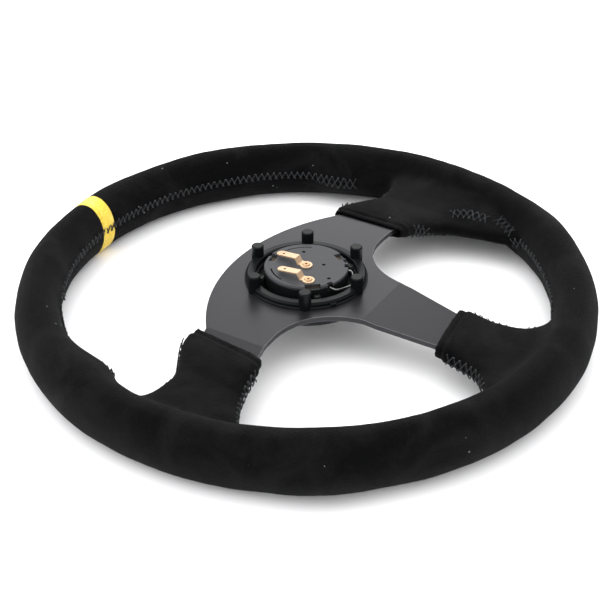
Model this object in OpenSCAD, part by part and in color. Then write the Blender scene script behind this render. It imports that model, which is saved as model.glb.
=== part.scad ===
// Three-spoke competition steering wheel, hub side up.
// Origin: centre of the hub mounting face. +Z towards the steering column, +Y to 12 o'clock,
// +X towards 9 o'clock as the driver sees it. Angles round the rim count from 12 o'clock, towards -X.

/* [Rim] */
// Overall diameter over the grip
wheel_d = 350; // [320:1:400]
// Thickness of the grip in the plane of the wheel
grip_w = 27.3; // [25:0.1:33]
// Thickness of the grip along the wheel's axis
grip_h = 37.3; // [33:0.1:45]
// Distance from the hub face forward to the middle of the rim
rim_drop = 9.3; // [7:0.1:12]
// Height of the swellings at the lower corners of the rim
corner_swell = 4.2; // [0:0.1:6]
// Height of the thumb rests inside the rim
thumb_swell = 7.5; // [0:0.1:9]
// Thickness of the suede
suede_t = 1.3; // [0.8:0.1:1.6]
// Gap between soft pieces that lie on each other
soft_gap = 0.3; // [0.2:0.05:0.5]
// Width of the coloured centre band along the rim
band_w = 13.5; // [8:0.5:30]
// Angle of the centre band's middle from 12 o'clock
band_angle = 2.4; // [-3:0.1:3]

/* [Rim core] */
// Width of the flat ring inside the rim
core_w = 12; // [10:0.5:14]
// Thickness of the flat ring
core_t = 4; // [3:0.1:4.5]
// Radius of the rivets that hold the ring to the spokes
core_rivet_r = 2; // [1.5:0.1:2.2]
// Distance between the two rivets of a spoke
core_rivet_pitch = 16; // [12:0.5:18]

/* [Spoke plate] */
// Thickness of the plate
plate_t = 3.2; // [3:0.1:5]
// Distance from the centre to the plate's edge at 12 o'clock
plate_top = 47.5; // [46:0.5:56]
// Radius of the plate's edge between the side spokes
plate_top_r = 122; // [112:1:140]
// Distance from the centre line to the narrowest place under a side spoke
waist_y = 17.5; // [15:0.1:20]
// Distance from the centre to that narrowest place
waist_x = 62; // [58:0.5:68]
// Half width of the lower spoke near the hub
lower_half = 22.8; // [20:0.1:26]
// Half width of the lower spoke where its boot starts
lower_half_hem = 17.2; // [15:0.1:20]
// Half width of all three spokes inside the rim
arm_half = 11.6; // [11.6:0.1:18]
// Distance from the centre to where the upper edge of a side spoke has come in to that half width
neck_x = 120; // [112:1:126]
// Distance from the centre to where the lower spoke bends towards the front
lower_bend = 52; // [46:1:60]
// Distance from the centre to where the side spokes bend towards the front
side_bend = 76; // [72:1:84]
// Distance from the centre to where every spoke is level again
level_from = 115; // [110:1:120]
// Radius of the hole for the horn unit
centre_hole_r = 30; // [28.5:0.1:30.5]

/* [Hub fixing] */
// Diameter of the bolt circle
bolt_pcd = 70; // [68:0.5:74]
// Radius of the bolt holes
bolt_hole_r = 2.75; // [2.5:0.05:3.2]
// Number of bolt holes
bolt_count = 6; // [3:1:6]

/* [Boots] */
// Distance from the centre to the hem of the 9 o'clock boot
hem_left = 77; // [72:0.5:84]
// Distance from the centre to the hem of the 3 o'clock boot
hem_right = 82.5; // [72:0.5:88]
// Distance from the centre to the hem of the lower boot
hem_lower = 96; // [86:0.5:100]

/* [Cap ring] */
// Outer radius of the ring
cap_outer_r = 36.5; // [36:0.1:38]
// Inner radius of the ring
cap_inner_r = 31; // [30.9:0.1:32]
// Height of the ring
cap_h = 4; // [3:0.1:5]
// Radius of a post
post_r = 3.75; // [3.5:0.05:4.2]
// Height of a post
post_h = 11.3; // [9:0.1:16]

/* [Horn unit] */
// Outer radius of the horn housing
horn_r = 25.5; // [24.5:0.1:25.6]
// Wall of the horn housing
horn_wall = 1.6; // [1.2:0.1:2]
// Height of the horn unit's back above the hub face
horn_back = 7.7; // [7:0.1:9]
// Thickness of the back plate
base_t = 1.5; // [1.2:0.1:2]
// Radius of the front bezel
bezel_r = 42.4; // [40.5:0.1:44]
// Thickness of the front bezel
bezel_t = 5.4; // [5:0.1:7]
// Travel of the horn button
horn_travel = 1.8; // [1:0.1:1.9]
// Radial gap between the horn button and its housing
cap_gap = 0.4; // [0.3:0.05:0.6]
// Depth of the button's front below the hub face
button_front = 18.5; // [17:0.1:20]
// Width of a terminal blade
blade_w = 5; // [4.8:0.1:6.3]
// Thickness of the terminals
blade_t = 0.8; // [0.6:0.1:0.8]
// Length from a terminal's rivet to the tip of its blade
blade_len = 21; // [19:0.5:22]

/* [Hidden] */
$fn = 96;

eps = 0.01;
fit = 0.05;                          // radial gap of rivets and screws in their holes
half_w = grip_w / 2;
half_h = grip_h / 2;
rim_r = wheel_d / 2 - half_w;        // radius of the grip's centre line
spokes = [90, 180, -90];             // 3, 6 and 9 o'clock
corner_angle = 124;
corner_spread = 9;
thumb_angle = 69;
thumb_spread = 8.5;

// The spokes are level at the hub and again inside the rim, where they lie in its middle plane.
plate_half = plate_t / 2;
drop = rim_drop - plate_half;
rivet_head_r = core_rivet_r + 1.5;
rivet_head_h = 1.5;
rivet_room = rivet_head_h + 0.4;
arm_end = sqrt(pow(rim_r + core_w / 2 - 0.5, 2) - arm_half * arm_half);
// The channel for the core ring, from the rim's centre line
channel_half = core_w / 2 + 0.5;
channel_low = -plate_half - core_t - rivet_room;
channel_high = plate_half + rivet_room;
slot_gap = 0.4;                      // gap between the plate and the slot that it passes through

function bell(a, centre, spread) = exp(-pow((abs(a) - centre) / spread, 2));
function wrap(a) = a > 180 ? a - 360 : a < -180 ? a + 360 : a;
// Point on the grip at rim angle a and section angle t, lowered by inset: [radial, axial]
function grip(a, t, inset) = let (c = cos(t), w = wrap(a))
  [(half_w - inset) * c
    + (c > 0 ? corner_swell * bell(w, corner_angle, corner_spread)
             : -thumb_swell * bell(w, thumb_angle, thumb_spread)) * c * c,
   (half_h - inset) * sin(t)];
// Point in space from rim angle a, radial and axial distance from the rim's centre line
function on_rim(a, p) = [-(rim_r + p[0]) * sin(a), (rim_r + p[0]) * cos(a), p[1] - rim_drop];
function polar(a, r) = r * [cos(a), sin(a)];
function arc(centre, r, from, to, n) = [for (i = [0:n]) centre + polar(from + (to - from) * i / n, r)];

function mix(low, high, share) = low + (high - low) * share;
function wave(a) = sin(90 * min(1, a));

// 1 where a spoke passes through the inside of the rim, 0 between the spokes
slot_full = 10;
slot_end = 15;
function slot(a) = max([for (s = spokes)
  max(0, min(1, (slot_end - abs(wrap(a - s))) / (slot_end - slot_full)))]);
// Half height of the opening inside the rim: a closed seam, or a slot round a spoke
function opening(a) = mix(slot_gap, plate_half + slot_gap, slot(a));

// Solid through a row of closed loops of equal length. closed joins the last loop to the first.
// From point number back on, the faces are split along their other diagonal, so that the inside of a
// skin lies parallel to the outside of what it covers. An end is closed from each point of its loop to
// the one as far from the loop's other end, which suits a round section and a skin's section alike.
module loft(loops, closed = false, back = 1000) {
  n = len(loops);
  m = len(loops[0]);
  sides = [for (i = [0:n - (closed ? 1 : 2)], j = [0:m - 1])
    let (a = i * m + j, b = i * m + (j + 1) % m, c = ((i + 1) % n) * m + (j + 1) % m, d = ((i + 1) % n) * m + j)
    each (j < back ? [[a, b, c], [a, c, d]] : [[a, b, d], [b, c, d]])];
  last = (n - 1) * m;
  caps = closed ? [] : [for (j = [0:m / 2 - 2]) let (k = m - 1 - j)
    each [[k, k - 1, j + 1, j], [last + j, last + j + 1, last + k - 1, last + k]]];
  polyhedron([for (l = loops) each l], concat(sides, caps), convexity = 10);
}

// ---- Rim ----
grip_sides = 18;
rim_step = 5;

// Points of a layer from the rear edge of the inner opening round the outside to its front edge
function layer(a, inset) = let (h = half_h - inset,
    from = 180 - asin(opening(a) / h))
  [for (k = [0:grip_sides]) on_rim(a, grip(a, from - 2 * from * k / grip_sides, inset))];
function cover_loop(a) = let (inner = layer(a, suede_t))
  concat(layer(a, 0), [for (k = [grip_sides:-1:0]) inner[k]]);
// Rim angles from one end of a panel to the other, with the whole steps between
function stations(from, to) = concat([from],
  [for (i = [floor(from / rim_step) + 1:ceil(to / rim_step) - 1]) i * rim_step], [to]);
module cover(from, to) {
  loft([for (a = stations(from, to)) cover_loop(a)], back = grip_sides + 1);
}

panel_gap = 0.06;                    // half gap between panels, in degrees
band_half = band_w / rim_r * 90 / PI;
band_from = band_angle - band_half;
band_to = band_angle + band_half;
module cover_top_left() {
  color("#1c1c1d") cover(-90 + panel_gap, band_from - panel_gap);
}
module cover_top_right() {
  color("#1c1c1d") cover(band_to + panel_gap, 90 - panel_gap);
}
module cover_lower_left() {
  color("#1c1c1d") cover(-180 + panel_gap, -90 - panel_gap);
}
module cover_lower_right() {
  color("#1c1c1d") cover(90 + panel_gap, 180 - panel_gap);
}
module centre_band() {
  color("#e8c93a") cover(band_from + panel_gap, band_to - panel_gap);
}

// Foam moulding with a channel for the core ring, open along its inner side where the spokes enter
function foam_loop(a) = let (h = opening(a), roof = mix(h + 0.3, channel_high, slot(a)),
    channel = [[-channel_half, -h], [-channel_half, channel_low], [channel_half, channel_low],
               [channel_half, roof], [-channel_half, roof], [-channel_half, h]])
  concat(layer(a, suede_t + soft_gap), [for (p = channel) on_rim(a, p)]);
module rim_foam() {
  color("#3a3a3c") loft([for (i = [0:360 / rim_step - 1]) foam_loop(-180 + i * rim_step)], closed = true);
}

module seam(from, to) {
  r = 0.45;
  lift = r + soft_gap;
  steps = ceil((to - from) / rim_step);
  loft([for (i = [0:steps]) let (a = from + (to - from) * i / steps, p = grip(a, 180, -lift))
    [for (k = [0:5]) on_rim(a, p + polar(60 * k, r))]]);
}
seam_end = 20;                       // angle from a spoke to the end of a seam
module seam_thread() {
  color("#2c2f36") {
    seam(-90 + seam_end, 90 - seam_end);
    seam(90 + seam_end, 180 - seam_end);
    seam(-180 + seam_end, -90 - seam_end);
  }
}

// ---- Metalwork ----
waist_r = 110;                       // hollow of a side spoke's lower edge
waist_end = 86.7;
crotch = [[waist_x, -waist_y], [waist_x - 23.7, -waist_y], [lower_half, -36.7], [lower_half, -60]];
function bezier(p, s) = pow(1 - s, 3) * p[0] + 3 * s * pow(1 - s, 2) * p[1]
  + 3 * s * s * (1 - s) * p[2] + s * s * s * p[3];
// The plate's outline at x >= 0, from 12 o'clock clockwise to 6 o'clock
half_outline = concat(
  arc([0, plate_top - plate_top_r], plate_top_r, 90, acos(hem_left / plate_top_r), 16),
  [[neck_x, arm_half], [arm_end, arm_half], [arm_end, -arm_half]],
  arc([waist_x, -waist_y - waist_r], waist_r, acos((waist_end - waist_x) / waist_r), 90, 5),
  [for (i = [1:12]) bezier(crotch, i / 12)],
  [[lower_half_hem, -hem_lower], [arm_half, -arm_end]]);
mirrored = [for (i = [len(half_outline) - 1:-1:1]) [-half_outline[i][0], half_outline[i][1]]];

module each_bolt() {
  for (i = [0:bolt_count - 1]) rotate(90 + i * 360 / bolt_count) translate([bolt_pcd / 2, 0, 0]) children();
}
module each_core_rivet() {
  for (s = spokes, side = [-1, 1]) rotate(s + 90) translate([rim_r, side * core_rivet_pitch / 2, -drop])
    children();
}
module core_rivet_holes() {
  each_core_rivet() cylinder(r = core_rivet_r + fit, h = 40, center = true);
}
module plate_outline() {
  polygon(concat(half_outline, mirrored));
}
// The part of a spoke beyond its first bend, which lies along +X before it is turned
module bent_arm(bend, turn) {
  rear = [[bend, 0], [level_from, -drop], [arm_end + 1, -drop]];
  front = [for (i = [2:-1:0]) rear[i] - [0, plate_t]];
  intersection() {
    translate([0, 0, -20]) linear_extrude(40) plate_outline();
    rotate([90, 0, turn]) linear_extrude(4 * lower_half, center = true) polygon(concat(rear, front));
  }
}
module spoke_plate() {
  color("#2b2b2e") difference() {
    union() {
      intersection() {
        translate([0, 0, -plate_t]) linear_extrude(plate_t) plate_outline();
        translate([-side_bend, -lower_bend, -20]) cube([2 * side_bend, lower_bend + 2 * plate_top, 40]);
      }
      bent_arm(side_bend, 0);
      bent_arm(side_bend, 180);
      bent_arm(lower_bend, -90);
    }
    cylinder(r = centre_hole_r, h = 20, center = true);
    each_bolt() cylinder(r = bolt_hole_r, h = 20, center = true);
    core_rivet_holes();
  }
}

module rim_core() {
  color("#8d9096") difference() {
    translate([0, 0, -drop - plate_t - core_t]) difference() {
      cylinder(r = rim_r + core_w / 2, h = core_t);
      translate([0, 0, -1]) cylinder(r = rim_r - core_w / 2, h = core_t + 2);
    }
    core_rivet_holes();
  }
}

module core_rivets() {
  low = -plate_t - core_t - rivet_head_h;
  color("#b8bbc0") each_core_rivet() {
    translate([0, 0, low]) cylinder(r = core_rivet_r, h = rivet_head_h - low);
    cylinder(r1 = rivet_head_r, r2 = core_rivet_r, h = rivet_head_h);
    translate([0, 0, low]) cylinder(r1 = core_rivet_r, r2 = rivet_head_r, h = rivet_head_h);
  }
}

// ---- Boots over the spokes ----
boot_sides = 24;
boot_swell = 3.4;                    // padding that a boot gains behind its hem
boot_growth = 3.2;                   // and from there to the rim
boot_shares = [0, 0.04, 0.1, 0.2, 0.35, 0.55, 0.75, 0.9, 1];
pad_first = 2;                       // the pads start at the third share
plate_gap = 0.3;
pad_gap = 0.9;                       // gap left between a pad and the bent plate
boot_gap = 0.95;                     // gap left between a boot and the grip
// Shapes of the boots: rim angle, middle and half width at the hem, flare on each side, bend of the spoke
side_boot = [90, 0.6, 23, 6, 20, side_bend];
lower_boot = [180, 0, 20.4, 19, 19, lower_bend];
function root(x, e) = sign(x) * pow(abs(x), e);
// Section point of a boot at share s of its length and section angle t: [sideways, axial]
function boot_point(b, s, t, inset) = let (c = cos(t), n = sin(t), swell = wave(s / 0.3),
    e = mix(0.3, 0.7, swell),
    half = b[2] + 3 * swell + (c > 0 ? b[3] : b[4]) * pow(s, 2.5) - inset,
    thick = plate_half + plate_gap + suede_t + boot_swell * swell + boot_growth * s - inset)
  [b[1] * (1 - s) + half * root(c, e), thick * root(n, e)];
// Section point of the room that a pad leaves for the plate
function plate_point(b, s, t) = [b[1] * (1 - s) + mix(b[2] - 0.9, arm_half + 3.3, s) * root(cos(t), 0.15),
  (plate_half + pad_gap) * root(sin(t), 0.15)];
// Height of the middle of a spoke at distance d
function spoke_mid(b, d) = -plate_half - drop * max(0, min(1, (d - b[5]) / (level_from - b[5])));
// Distance along a spoke to the grip's inner surface, sideways v and at height z
function rim_reach(b, p) = let (q = sqrt(max(0, 1 - pow(p[1] / half_h, 2))),
    a = b[0] - asin(p[0] / (rim_r - half_w)),
    under = floor(a / rim_step) * rim_step,
    bulge = thumb_swell * mix(bell(under, thumb_angle, thumb_spread),
      bell(under + rim_step, thumb_angle, thumb_spread), (a - under) / rim_step),
    r = rim_r - half_w * q - bulge * q * q - boot_gap)
  sqrt(r * r - p[0] * p[0]);
function along(b, hem, s, p, end) = let (d = mix(hem, rim_reach(b, end), s)) [d, p[0], p[1] + spoke_mid(b, d)];
module boot(b, hem) {
  n = len(boot_shares) - 1;
  loft([for (i = [0:boot_sides - 1]) let (t = 360 * i / boot_sides)
    concat([for (k = [0:n]) let (s = boot_shares[k])
             along(b, hem, s, boot_point(b, s, t, 0), boot_point(b, 1, t, 0))],
           [for (k = [n:-1:0]) let (s = boot_shares[k])
             along(b, hem, s, boot_point(b, s, t, suede_t), boot_point(b, 1, t, suede_t))])],
    closed = true, back = n + 1);
}
module pad(b, hem) {
  n = len(boot_shares) - 1;
  inset = suede_t + soft_gap;
  loft([for (i = [0:boot_sides - 1]) let (t = 360 * i / boot_sides)
    concat([for (k = [pad_first:n]) let (s = boot_shares[k])
             along(b, hem, s, boot_point(b, s, t, inset), boot_point(b, 1, t, inset))],
           [for (k = [n:-1:pad_first]) let (s = boot_shares[k])
             along(b, hem, s, plate_point(b, s, t), plate_point(b, 1, t))])],
    closed = true);
}
module boot_left() {
  color("#1c1c1d") boot(side_boot, hem_left);
}
module boot_right() {
  color("#1c1c1d") mirror([1, 0, 0]) boot(side_boot, hem_right);
}
module boot_lower() {
  color("#1c1c1d") rotate(-90) boot(lower_boot, hem_lower);
}
module spoke_pads() {
  color("#3a3a3c") {
    pad(side_boot, hem_left);
    mirror([1, 0, 0]) pad(side_boot, hem_right);
    rotate(-90) pad(lower_boot, hem_lower);
  }
}

// ---- Cap ring over the bolt places ----
module cap_ring() {
  edge = 1.1;
  lip = 0.8;
  bore_h = post_h - 1.8;
  tab_at = 236.6;
  color("#26282a") difference() {
    union() {
      rotate_extrude() polygon([[cap_inner_r, 0], [cap_outer_r + lip, 0], [cap_outer_r + lip, 0.9],
        [cap_outer_r, 1.2], [cap_outer_r, cap_h - edge], [cap_outer_r - edge, cap_h],
        [cap_inner_r + edge, cap_h], [cap_inner_r, cap_h - edge / 2]]);
      each_bolt() {
        cylinder(r = post_r, h = post_h - 0.6);
        translate([0, 0, post_h - 0.6]) cylinder(r1 = post_r, r2 = post_r - 0.6, h = 0.6);
      }
      rotate(tab_at) translate([cap_outer_r - 2, -1.8, 0]) cube([3.2, 3.6, 2.3]);
    }
    each_bolt() translate([0, 0, -1]) cylinder(r = bolt_hole_r, h = bore_h + 1);
  }
}

// ---- Horn unit ----
horn_inner = horn_r - horn_wall;
base_under = horn_back - base_t;
flange_r = centre_hole_r + 1.4;
flange_t = 2;
lip_r = horn_inner - 1.2;            // front opening that the button passes through
lip_z = -12;
lip_t = 1.4;
screw_circle = 27.6;
screw_r = 1.25;
screw_head_r = 1.95;
boss_r = 2.1;
boss_top = 2.6;
feed_at = [0, 0];
earth_at = [-13.9, -9.9];
rivet_r = 1.5;
contact_t = 0.6;
contact_gap = 0.1;                   // gap left between the contacts with the button pressed home
notch_at = [246, 301];               // where the retaining wire leaves the housing
module each_screw() {
  for (i = [0:3]) rotate(45 + 90 * i) translate([screw_circle, 0, 0]) children();
}

module front_bezel() {
  bore = horn_r + 0.3;
  round_r = 2.2;
  head_r = 4.7;
  head_depth = 2.4;
  low = -plate_t - bezel_t;
  color("#1f2022") difference() {
    rotate_extrude() polygon(concat([[bore, low + 0.8], [bore + 0.8, low]],
      arc([bezel_r - round_r, low + round_r], round_r, -90, 0, 8),
      [[bezel_r, -plate_t], [flange_r + 0.3, -plate_t], [flange_r + 0.3, -plate_t - flange_t],
       [bore, -plate_t - flange_t]]));
    each_bolt() {
      translate([0, 0, low - 1]) cylinder(r = bolt_hole_r, h = bezel_t + 2);
      translate([0, 0, low - 1]) cylinder(r = head_r, h = head_depth + 1);
    }
    each_screw() translate([0, 0, low + 0.9]) cylinder(r = screw_r + fit, h = bezel_t);
  }
}

module horn_housing() {
  notch_h = 2.4;
  color("#232425") difference() {
    union() {
      rotate_extrude() polygon([[horn_inner, base_under], [horn_inner, lip_z], [lip_r, lip_z],
        [lip_r, lip_z - lip_t + 0.5], [lip_r + 0.5, lip_z - lip_t], [horn_r - 0.6, lip_z - lip_t],
        [horn_r, lip_z - lip_t + 0.6], [horn_r, -plate_t - flange_t], [flange_r, -plate_t - flange_t],
        [flange_r, -plate_t], [horn_r, -plate_t], [horn_r, base_under]]);
      each_screw() translate([0, 0, -plate_t - flange_t]) cylinder(r = boss_r, h = boss_top + plate_t + flange_t);
    }
    translate([0, 0, lip_z]) cylinder(r = horn_inner, h = base_under - lip_z + 1);
    each_screw() cylinder(r = screw_r + fit, h = 40, center = true);
    for (a = notch_at) rotate(a) translate([horn_inner - 1, -2, base_under - notch_h]) cube([4, 4, notch_h + 1]);
  }
}

module housing_screws() {
  tip = -plate_t - bezel_t + 1.1;
  color("#9a9da2") each_screw() difference() {
    union() {
      translate([0, 0, tip]) cylinder(r = screw_r, h = boss_top - tip);
      translate([0, 0, boss_top]) cylinder(r = screw_head_r, h = 0.9);
      translate([0, 0, boss_top + 0.9]) cylinder(r1 = screw_head_r, r2 = 1.3, h = 0.5);
    }
    for (q = [0, 90]) rotate(q) translate([-1.2, -0.3, boss_top + 0.6]) cube([2.4, 0.6, 2]);
  }
}

module arc_slot(r, width, from, to) {
  rotate(from) rotate_extrude(angle = to - from) translate([r - width / 2, base_under - 1]) square([width, base_t + 2]);
}
module horn_base() {
  hole_r = 1.25;
  holes = [[13, 9.7], [6.4, -8.5], [-5.4, -19]];
  color("#2a2b2d") difference() {
    union() {
      translate([0, 0, base_under]) cylinder(r = horn_r, h = base_t - 0.4);
      translate([0, 0, horn_back - 0.4]) cylinder(r1 = horn_r, r2 = horn_r - 0.4, h = 0.4);
      translate([0, 0, horn_back]) difference() {
        cylinder(r = horn_r - 1, h = 0.35);
        translate([0, 0, -1]) cylinder(r = horn_r - 1.9, h = 2);
        rotate(-60) translate([-5, 0, -1]) cube([60, 60, 3]);
        rotate(-20) translate([-5, 0, -1]) cube([60, 60, 3]);
        rotate(-110) translate([-5, 0, -1]) cube([60, 60, 3]);
      }
    }
    arc_slot(21.6, 0.9, 22, 66);
    arc_slot(21.5, 1.1, 130, 168);
    for (p = holes) translate([p[0], p[1], 0]) cylinder(r = hole_r, h = 20);
    for (p = [feed_at, earth_at]) translate([p[0], p[1], 0]) cylinder(r = rivet_r + fit, h = 20);
    // Openings at the edge: under the feed blade, behind the earth rivet, and two pockets on the right
    rotate(97) translate([20, -4, 0]) cube([3.4, 8, 20]);
    rotate(92) translate([22.8, -2.2, 0]) cube([6, 3.6, 20]);
    rotate(220) translate([21.4, -4.6, 0]) cube([8, 9.6, 20]);
    rotate(-30) translate([20.4, -4.2, 0]) cube([8, 7, 20]);
    rotate(-34) translate([22.6, -7, 0]) cube([8, 4, 20]);
    for (a = notch_at) rotate(a) translate([23, -2, 0]) cube([6, 4, 20]);
  }
}

// The wire hooks into two notches of the housing and bears on the plate behind it
module retaining_wire() {
  r = 0.6;
  path = [[-9.9, -22.3, 4.9], [-10.4, -24.6, 4.9], [-10.5, -26.4, 4.8], [-9.2, -27.6, 4.5], [-5, -28.8, 3.6],
          [0, -29.9, 2.6], [3.4, -29.8, 2.2], [6.4, -28.9, 2.6], [9.6, -27, 3.7], [11.9, -25.2, 4.6],
          [12.5, -23.6, 4.9], [11.6, -21.4, 4.9]];
  n = len(path);
  color("#c9ccd0") loft([for (i = [0:n - 1]) let (d = path[min(i + 1, n - 1)] - path[max(i - 1, 0)],
      f = d / norm(d), s = cross(f, [0, 0, 1]) / norm(cross(f, [0, 0, 1])), u = cross(s, f))
    [for (k = [0:9]) path[i] + r * (cos(36 * k) * s + sin(36 * k) * u)]]);
}

// A spade terminal along +Y, its rivet hole at the origin: a steep ramp, then a blade that slopes down
module terminal() {
  eyelet_r = 3.7;
  rise = 3.4;
  fall = 0.12;
  ramp = [4.9, 6.9];
  level = horn_back;
  pin_hole = 0.85;
  pin_at = 16.4;
  bend = blade_t * tan(atan(rise / (ramp[1] - ramp[0])) / 2);
  tip = [30, rise - fall * (30 - ramp[1])];
  side = [[-6, 0], [ramp[0], 0], [ramp[1], rise], tip, tip + [0, blade_t],
          [ramp[1] - bend, rise + blade_t], [ramp[0] - bend, blade_t], [-6, blade_t]];
  difference() {
    intersection() {
      translate([0, 0, level]) rotate([90, 0, 90]) linear_extrude(12, center = true) polygon(side);
      translate([0, 0, level - 1]) linear_extrude(6) union() {
        circle(r = eyelet_r);
        translate([-blade_w / 2, 0]) square([blade_w, blade_len - blade_w / 2]);
        translate([0, blade_len - blade_w / 2]) circle(r = blade_w / 2);
      }
    }
    cylinder(r = rivet_r + fit, h = 20);
    translate([0, pin_at, 0]) cylinder(r = pin_hole, h = 20);
  }
}
module terminal_feed() {
  color("#d9b48f") translate([feed_at[0], feed_at[1], 0]) rotate(-3) terminal();
}
module terminal_earth() {
  color("#d9b48f") translate([earth_at[0], earth_at[1], 0]) terminal();
}
rivet_low = base_under - contact_t - 0.7;
module terminal_rivets() {
  top = horn_back + blade_t;
  color("#c79f78") for (p = [feed_at, earth_at]) translate([p[0], p[1], 0]) difference() {
    union() {
      translate([0, 0, rivet_low]) cylinder(r = 2.3, h = 0.7);
      translate([0, 0, rivet_low]) cylinder(r = rivet_r, h = top - rivet_low);
      translate([0, 0, top]) cylinder(r1 = 2.5, r2 = 2, h = 0.55);
    }
    translate([0, 0, top - 2.5]) cylinder(r = 0.85, h = 5);
  }
}

// Contact ring under the back plate, with an ear out to the earth rivet
contact_in = 19.6;
contact_out = horn_inner - 0.5;
module fixed_contact() {
  color("#b9a27a") translate([0, 0, base_under - contact_t]) difference() {
    union() {
      difference() {
        cylinder(r = contact_out, h = contact_t);
        translate([0, 0, -1]) cylinder(r = contact_in, h = 3);
      }
      translate([earth_at[0], earth_at[1], 0]) cylinder(r = 3.6, h = contact_t);
    }
    translate([earth_at[0], earth_at[1], -1]) cylinder(r = rivet_r + fit, h = 3);
  }
}
cup_r = 7;
module spring_cup() {
  color("#b9a27a") translate([0, 0, base_under - contact_t]) difference() {
    union() {
      cylinder(r = cup_r, h = contact_t);
      translate([0, 0, -1]) difference() {
        cylinder(r = cup_r, h = 1 + contact_t);
        translate([0, 0, -1]) cylinder(r = cup_r - 0.5, h = 3);
      }
    }
    translate([0, 0, -2]) cylinder(r = rivet_r + fit, h = 4);
  }
}

// The button slides in the housing; its skirt stops on the housing's front lip
skirt_r = horn_inner - cap_gap;
dome_r = lip_r - cap_gap;
disc_z = base_under - contact_t - contact_gap - horn_travel - contact_t;
button_floor = lip_z + 2.4;
pin_r = 0.8;
disc_pin_circle = 21.5;
module button_pins() {
  for (a = [90, 210, 330]) rotate(a) translate([disc_pin_circle, 0, 0]) children();
}
module horn_button() {
  dome_edge = lip_z - lip_t - 0.4;
  rise = button_front + dome_edge;
  dome_sphere = (dome_r * dome_r + rise * rise) / (2 * rise);
  dome_half = asin(dome_r / dome_sphere);
  color("#202123") {
    difference() {
      rotate_extrude() polygon(concat([[0, disc_z], [skirt_r, disc_z], [skirt_r, lip_z], [dome_r, lip_z]],
        arc([0, dome_sphere - button_front], dome_sphere, -90 + dome_half, -90, 12)));
      translate([0, 0, button_floor]) cylinder(r = skirt_r - 1.8, h = 40);
    }
    translate([0, 0, button_floor - eps]) difference() {
      cylinder(r = 4.6, h = 5);
      translate([0, 0, 1]) cylinder(r = 3.2, h = 5);
    }
    button_pins() translate([0, 0, disc_z - eps]) cylinder(r = pin_r, h = contact_t);
  }
}
module contact_disc() {
  relief_r = 3.4;
  spring_hole = cup_r + 0.8;
  color("#c08a5a") translate([0, 0, disc_z]) difference() {
    cylinder(r = skirt_r - 0.4, h = contact_t);
    translate([0, 0, -1]) cylinder(r = spring_hole, h = 3);
    translate([earth_at[0], earth_at[1], -1]) cylinder(r = relief_r, h = 3);
    button_pins() translate([0, 0, -1]) cylinder(r = pin_r + fit, h = 3);
  }
}

spring_turns = 5;
spring_r = 5.6;
spring_wire = 0.5;
spring_top = base_under - contact_t;
module return_spring() {
  low = button_floor + spring_wire + eps;
  high = spring_top - spring_wire - eps;
  steps = 14 * spring_turns;
  color("#c3c6ca") loft([for (i = [0:steps]) let (a = 360 * spring_turns * i / steps,
      rise = (high - low) / 360 / spring_turns * 180 / PI, f = [-sin(a), cos(a), rise / spring_r],
      n = f / norm(f), out = [cos(a), sin(a), 0], up = cross(out, n))
    [for (k = [0:7]) [spring_r * cos(a), spring_r * sin(a), mix(low, high, i / steps)]
      + spring_wire * (cos(45 * k) * out + sin(45 * k) * up)]]);
}

spoke_plate();
rim_core();
core_rivets();
rim_foam();
spoke_pads();
cover_top_left();
cover_top_right();
cover_lower_left();
cover_lower_right();
centre_band();
boot_left();
boot_right();
boot_lower();
seam_thread();
cap_ring();
front_bezel();
horn_housing();
housing_screws();
horn_base();
retaining_wire();
terminal_feed();
terminal_earth();
terminal_rivets();
fixed_contact();
spring_cup();
return_spring();
horn_button();
contact_disc();
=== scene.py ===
"""Three-spoke suede steering wheel on a white sweep, hub side up.

Metres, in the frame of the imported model.
"""
import bpy
import bmesh
import math
import numpy as np
from mathutils import Matrix, Vector, noise
from mathutils.bvhtree import BVHTree


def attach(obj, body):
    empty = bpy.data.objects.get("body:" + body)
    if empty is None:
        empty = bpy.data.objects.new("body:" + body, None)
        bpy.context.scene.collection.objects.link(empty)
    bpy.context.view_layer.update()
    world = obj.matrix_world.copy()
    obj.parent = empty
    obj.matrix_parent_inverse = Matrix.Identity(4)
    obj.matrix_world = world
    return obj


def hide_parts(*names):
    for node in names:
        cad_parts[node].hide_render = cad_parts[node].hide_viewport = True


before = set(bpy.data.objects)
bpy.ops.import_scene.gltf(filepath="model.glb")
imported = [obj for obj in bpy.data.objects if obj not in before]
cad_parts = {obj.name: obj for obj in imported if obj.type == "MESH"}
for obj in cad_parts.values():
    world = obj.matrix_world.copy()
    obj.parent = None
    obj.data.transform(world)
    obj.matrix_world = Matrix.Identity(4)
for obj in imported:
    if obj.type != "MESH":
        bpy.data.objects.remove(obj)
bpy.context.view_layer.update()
MM = 0.001

# ---- Sizes of the soft parts, in millimetres and degrees ----
RIM_R, HALF_W, HALF_H, RIM_DROP = 161.35, 13.65, 18.65, 9.3
CORNER = (4.2, 124.0, 9.0)
THUMB = (9.3, 69.6, 8.0)
SKIN = 1.2
PLATE_HALF, PLATE_MID, RIM_LEVEL, LEVEL_FROM = 1.6, -1.6, -9.3, 115.0
SIDE_BEND, LOWER_BEND = 76.0, 52.0
BAND = (0.0, 4.45)
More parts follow.
